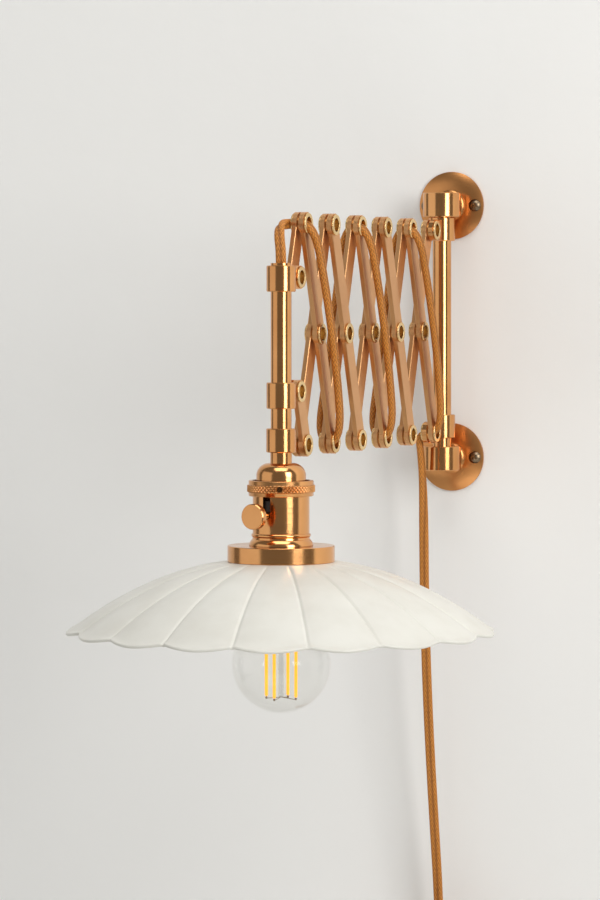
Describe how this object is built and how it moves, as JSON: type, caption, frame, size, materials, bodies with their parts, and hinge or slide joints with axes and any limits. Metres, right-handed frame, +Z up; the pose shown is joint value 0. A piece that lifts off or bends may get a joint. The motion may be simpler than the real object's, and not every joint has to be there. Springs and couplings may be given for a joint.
{
  "type": "accordion wall lamp",
  "caption": "Scissor-arm wall lamp in satin copper with a scalloped white shade, clear globe bulb, turn switch and a braided cord threaded through the arm.",
  "frame": {"origin": "on the wall, at the centre of the back face of the upper wall plate", "axes": "+X right along the wall, seen facing it from the room; +Y into the wall, the arm reaching out along -Y; +Z up"},
  "size_m": [0.26, 0.4528, 0.6702],
  "materials": {
    "copper": "satin, slightly aged copper plating",
    "bar_copper": "matt copper with fine lengthwise brushing",
    "eyelet_brass": "satin yellow brass",
    "dark_steel": "dark browned steel",
    "dark_plastic": "matt black",
    "white_enamel": "satin white enamel",
    "clear_glass": "clear",
    "warm_filament": "amber",
    "gold_braid": "woven braid with a slight sheen",
    "leather": "plain brown",
    "blade_metal": "polished"
  },
  "bodies": {
    "wall_mount": {"upper_wall_plate": "copper", "lower_wall_plate": "copper", "upper_rod_socket": "copper", "lower_rod_socket": "copper", "wall_screws": "dark_steel"},
    "swing_rod": {"wall_rod": "copper", "upper_wall_collar": "copper", "wall_collar_screw": "dark_steel", "upper_wall_eyelet": "eyelet_brass"},
    "lower_wall_slider": {"lower_wall_collar": "copper", "cord_hanging": "gold_braid", "cord_coil": "gold_braid", "coil_tie": "leather", "plug_body": "dark_plastic", "plug_blades": "blade_metal"},
    "lower_lamp_slider": {"lower_lamp_collar": "copper"},
    "upper_end_link": {"link_upper": "bar_copper"},
    "lower_end_link": {"link_lower": "bar_copper", "eyelets_link": "eyelet_brass"},
    "switch_knob": {"turn_knob": "copper"},
    "lamp": {"lamp_tube": "copper", "upper_lamp_collar": "copper", "lamp_collar_screw": "dark_steel", "upper_lamp_eyelet": "eyelet_brass", "cord_bushing": "copper", "tube_coupling": "copper", "socket_nipple": "eyelet_brass", "socket_cap": "copper", "socket_ring": "copper", "socket_shell": "copper", "lampholder": "dark_plastic", "shade_fitter": "copper", "shade": "white_enamel", "shade_nut": "copper", "bulb_glass": "clear_glass", "bulb_base": "eyelet_brass", "bulb_stem": "clear_glass", "bulb_filaments": "warm_filament", "cord_in_tube": "gold_braid", "cord_loop": "gold_braid"},
    "front_bar_1": {"bar_front_1": "bar_copper", "eyelets_1": "eyelet_brass", "cord_run_1": "gold_braid"},
    "back_bar_1": {"bar_back_1": "bar_copper"},
    "front_bar_2": {"bar_front_2": "bar_copper", "eyelets_2": "eyelet_brass"},
    "back_bar_2": {"bar_back_2": "bar_copper", "cord_run_2": "gold_braid"},
    "front_bar_3": {"bar_front_3": "bar_copper", "eyelets_3": "eyelet_brass", "cord_run_3": "gold_braid"},
    "back_bar_3": {"bar_back_3": "bar_copper"},
    "front_bar_4": {"bar_front_4": "bar_copper", "eyelets_4": "eyelet_brass"},
    "back_bar_4": {"bar_back_4": "bar_copper", "cord_run_4": "gold_braid"},
    "front_bar_5": {"bar_front_5": "bar_copper", "eyelets_5": "eyelet_brass", "cord_run_5": "gold_braid"},
    "back_bar_5": {"bar_back_5": "bar_copper"}
  },
  "joints": [
    {"name": "swing", "type": "hinge", "parent": "wall_mount", "child": "swing_rod", "pos_m": [0, -0.02, -0.08635], "axis": [0, 0, 1], "range_deg": [-60, 60]},
    {"name": "extend", "type": "hinge", "parent": "swing_rod", "child": "back_bar_5", "pos_m": [0, -0.04175, -0.0176], "axis": [-1, 0, 0], "range_deg": [-3.5, 41]},
    {"name": "crossing_5", "type": "hinge", "parent": "back_bar_5", "child": "front_bar_5", "pos_m": [0, -0.06451, -0.08601], "axis": [-1, 0, 0], "range_deg": [-82.5, 7.5]},
    {"name": "lower_wall_pivot", "type": "hinge", "parent": "front_bar_5", "child": "lower_wall_slider", "pos_m": [0, -0.04175, -0.15443], "axis": [-1, 0, 0], "range_deg": [-4, 41.5]},
    {"name": "upper_pivot_5", "type": "hinge", "parent": "front_bar_5", "child": "back_bar_4", "pos_m": [0, -0.08727, -0.0176], "axis": [-1, 0, 0], "range_deg": [-7.5, 82.5]},
    {"name": "crossing_4", "type": "hinge", "parent": "back_bar_4", "child": "front_bar_4", "pos_m": [0, -0.11002, -0.08601], "axis": [-1, 0, 0], "range_deg": [-82.5, 7.5]},
    {"name": "lower_pivot_4", "type": "hinge", "parent": "back_bar_4", "child": "front_bar_3", "pos_m": [0, -0.13278, -0.15443], "axis": [-1, 0, 0], "range_deg": [-82.5, 7.5]},
    {"name": "crossing_3", "type": "hinge", "parent": "front_bar_3", "child": "back_bar_3", "pos_m": [0, -0.15554, -0.08601], "axis": [-1, 0, 0], "range_deg": [-7.5, 82.5]},
    {"name": "upper_pivot_3", "type": "hinge", "parent": "front_bar_3", "child": "back_bar_2", "pos_m": [0, -0.1783, -0.0176], "axis": [-1, 0, 0], "range_deg": [-7.5, 82.5]},
    {"name": "crossing_2", "type": "hinge", "parent": "back_bar_2", "child": "front_bar_2", "pos_m": [0, -0.20106, -0.08601], "axis": [-1, 0, 0], "range_deg": [-82.5, 7.5]},
    {"name": "lower_pivot_2", "type": "hinge", "parent": "back_bar_2", "child": "front_bar_1", "pos_m": [0, -0.22382, -0.15443], "axis": [-1, 0, 0], "range_deg": [-82.5, 7.5]},
    {"name": "crossing_1", "type": "hinge", "parent": "front_bar_1", "child": "back_bar_1", "pos_m": [0, -0.24657, -0.08601], "axis": [-1, 0, 0], "range_deg": [-7.5, 82.5]},
    {"name": "upper_pivot_1", "type": "hinge", "parent": "front_bar_1", "child": "upper_end_link", "pos_m": [0, -0.26933, -0.0176], "axis": [-1, 0, 0], "range_deg": [-7.5, 82.5]},
    {"name": "upper_lamp_pivot", "type": "hinge", "parent": "upper_end_link", "child": "lamp", "pos_m": [0, -0.28039, -0.05085], "axis": [-1, 0, 0], "range_deg": [-41.5, 4], "deforming": ["cord_loop"]},
    {"name": "lower_pivot_1", "type": "hinge", "parent": "back_bar_1", "child": "lower_end_link", "pos_m": [0, -0.26933, -0.15443], "axis": [-1, 0, 0], "range_deg": [-82.5, 7.5]},
    {"name": "lower_lamp_pivot", "type": "hinge", "parent": "lower_end_link", "child": "lower_lamp_slider", "pos_m": [0, -0.28039, -0.12118], "axis": [-1, 0, 0], "range_deg": [-4, 41.5]},
    {"name": "switch_turn", "type": "hinge", "parent": "lamp", "child": "switch_knob", "pos_m": [-0.00334, -0.32591, -0.1954], "axis": [-0.1392, -0.9903, 0], "range_deg": [-90, 90]}
  ],
  "couplings": [
    {"joint": "crossing_5", "follows": "extend", "ratio": -2},
    {"joint": "lower_wall_pivot", "follows": "extend", "ratio": 1},
    {"joint": "upper_pivot_5", "follows": "extend", "ratio": 2},
    {"joint": "crossing_4", "follows": "extend", "ratio": -2},
    {"joint": "lower_pivot_4", "follows": "extend", "ratio": -2},
    {"joint": "crossing_3", "follows": "extend", "ratio": 2},
    {"joint": "upper_pivot_3", "follows": "extend", "ratio": 2},
    {"joint": "crossing_2", "follows": "extend", "ratio": -2},
    {"joint": "lower_pivot_2", "follows": "extend", "ratio": -2},
    {"joint": "crossing_1", "follows": "extend", "ratio": 2},
    {"joint": "upper_pivot_1", "follows": "extend", "ratio": 2},
    {"joint": "upper_lamp_pivot", "follows": "extend", "ratio": -1},
    {"joint": "lower_pivot_1", "follows": "extend", "ratio": -2},
    {"joint": "lower_lamp_pivot", "follows": "extend", "ratio": 1}
  ]
}
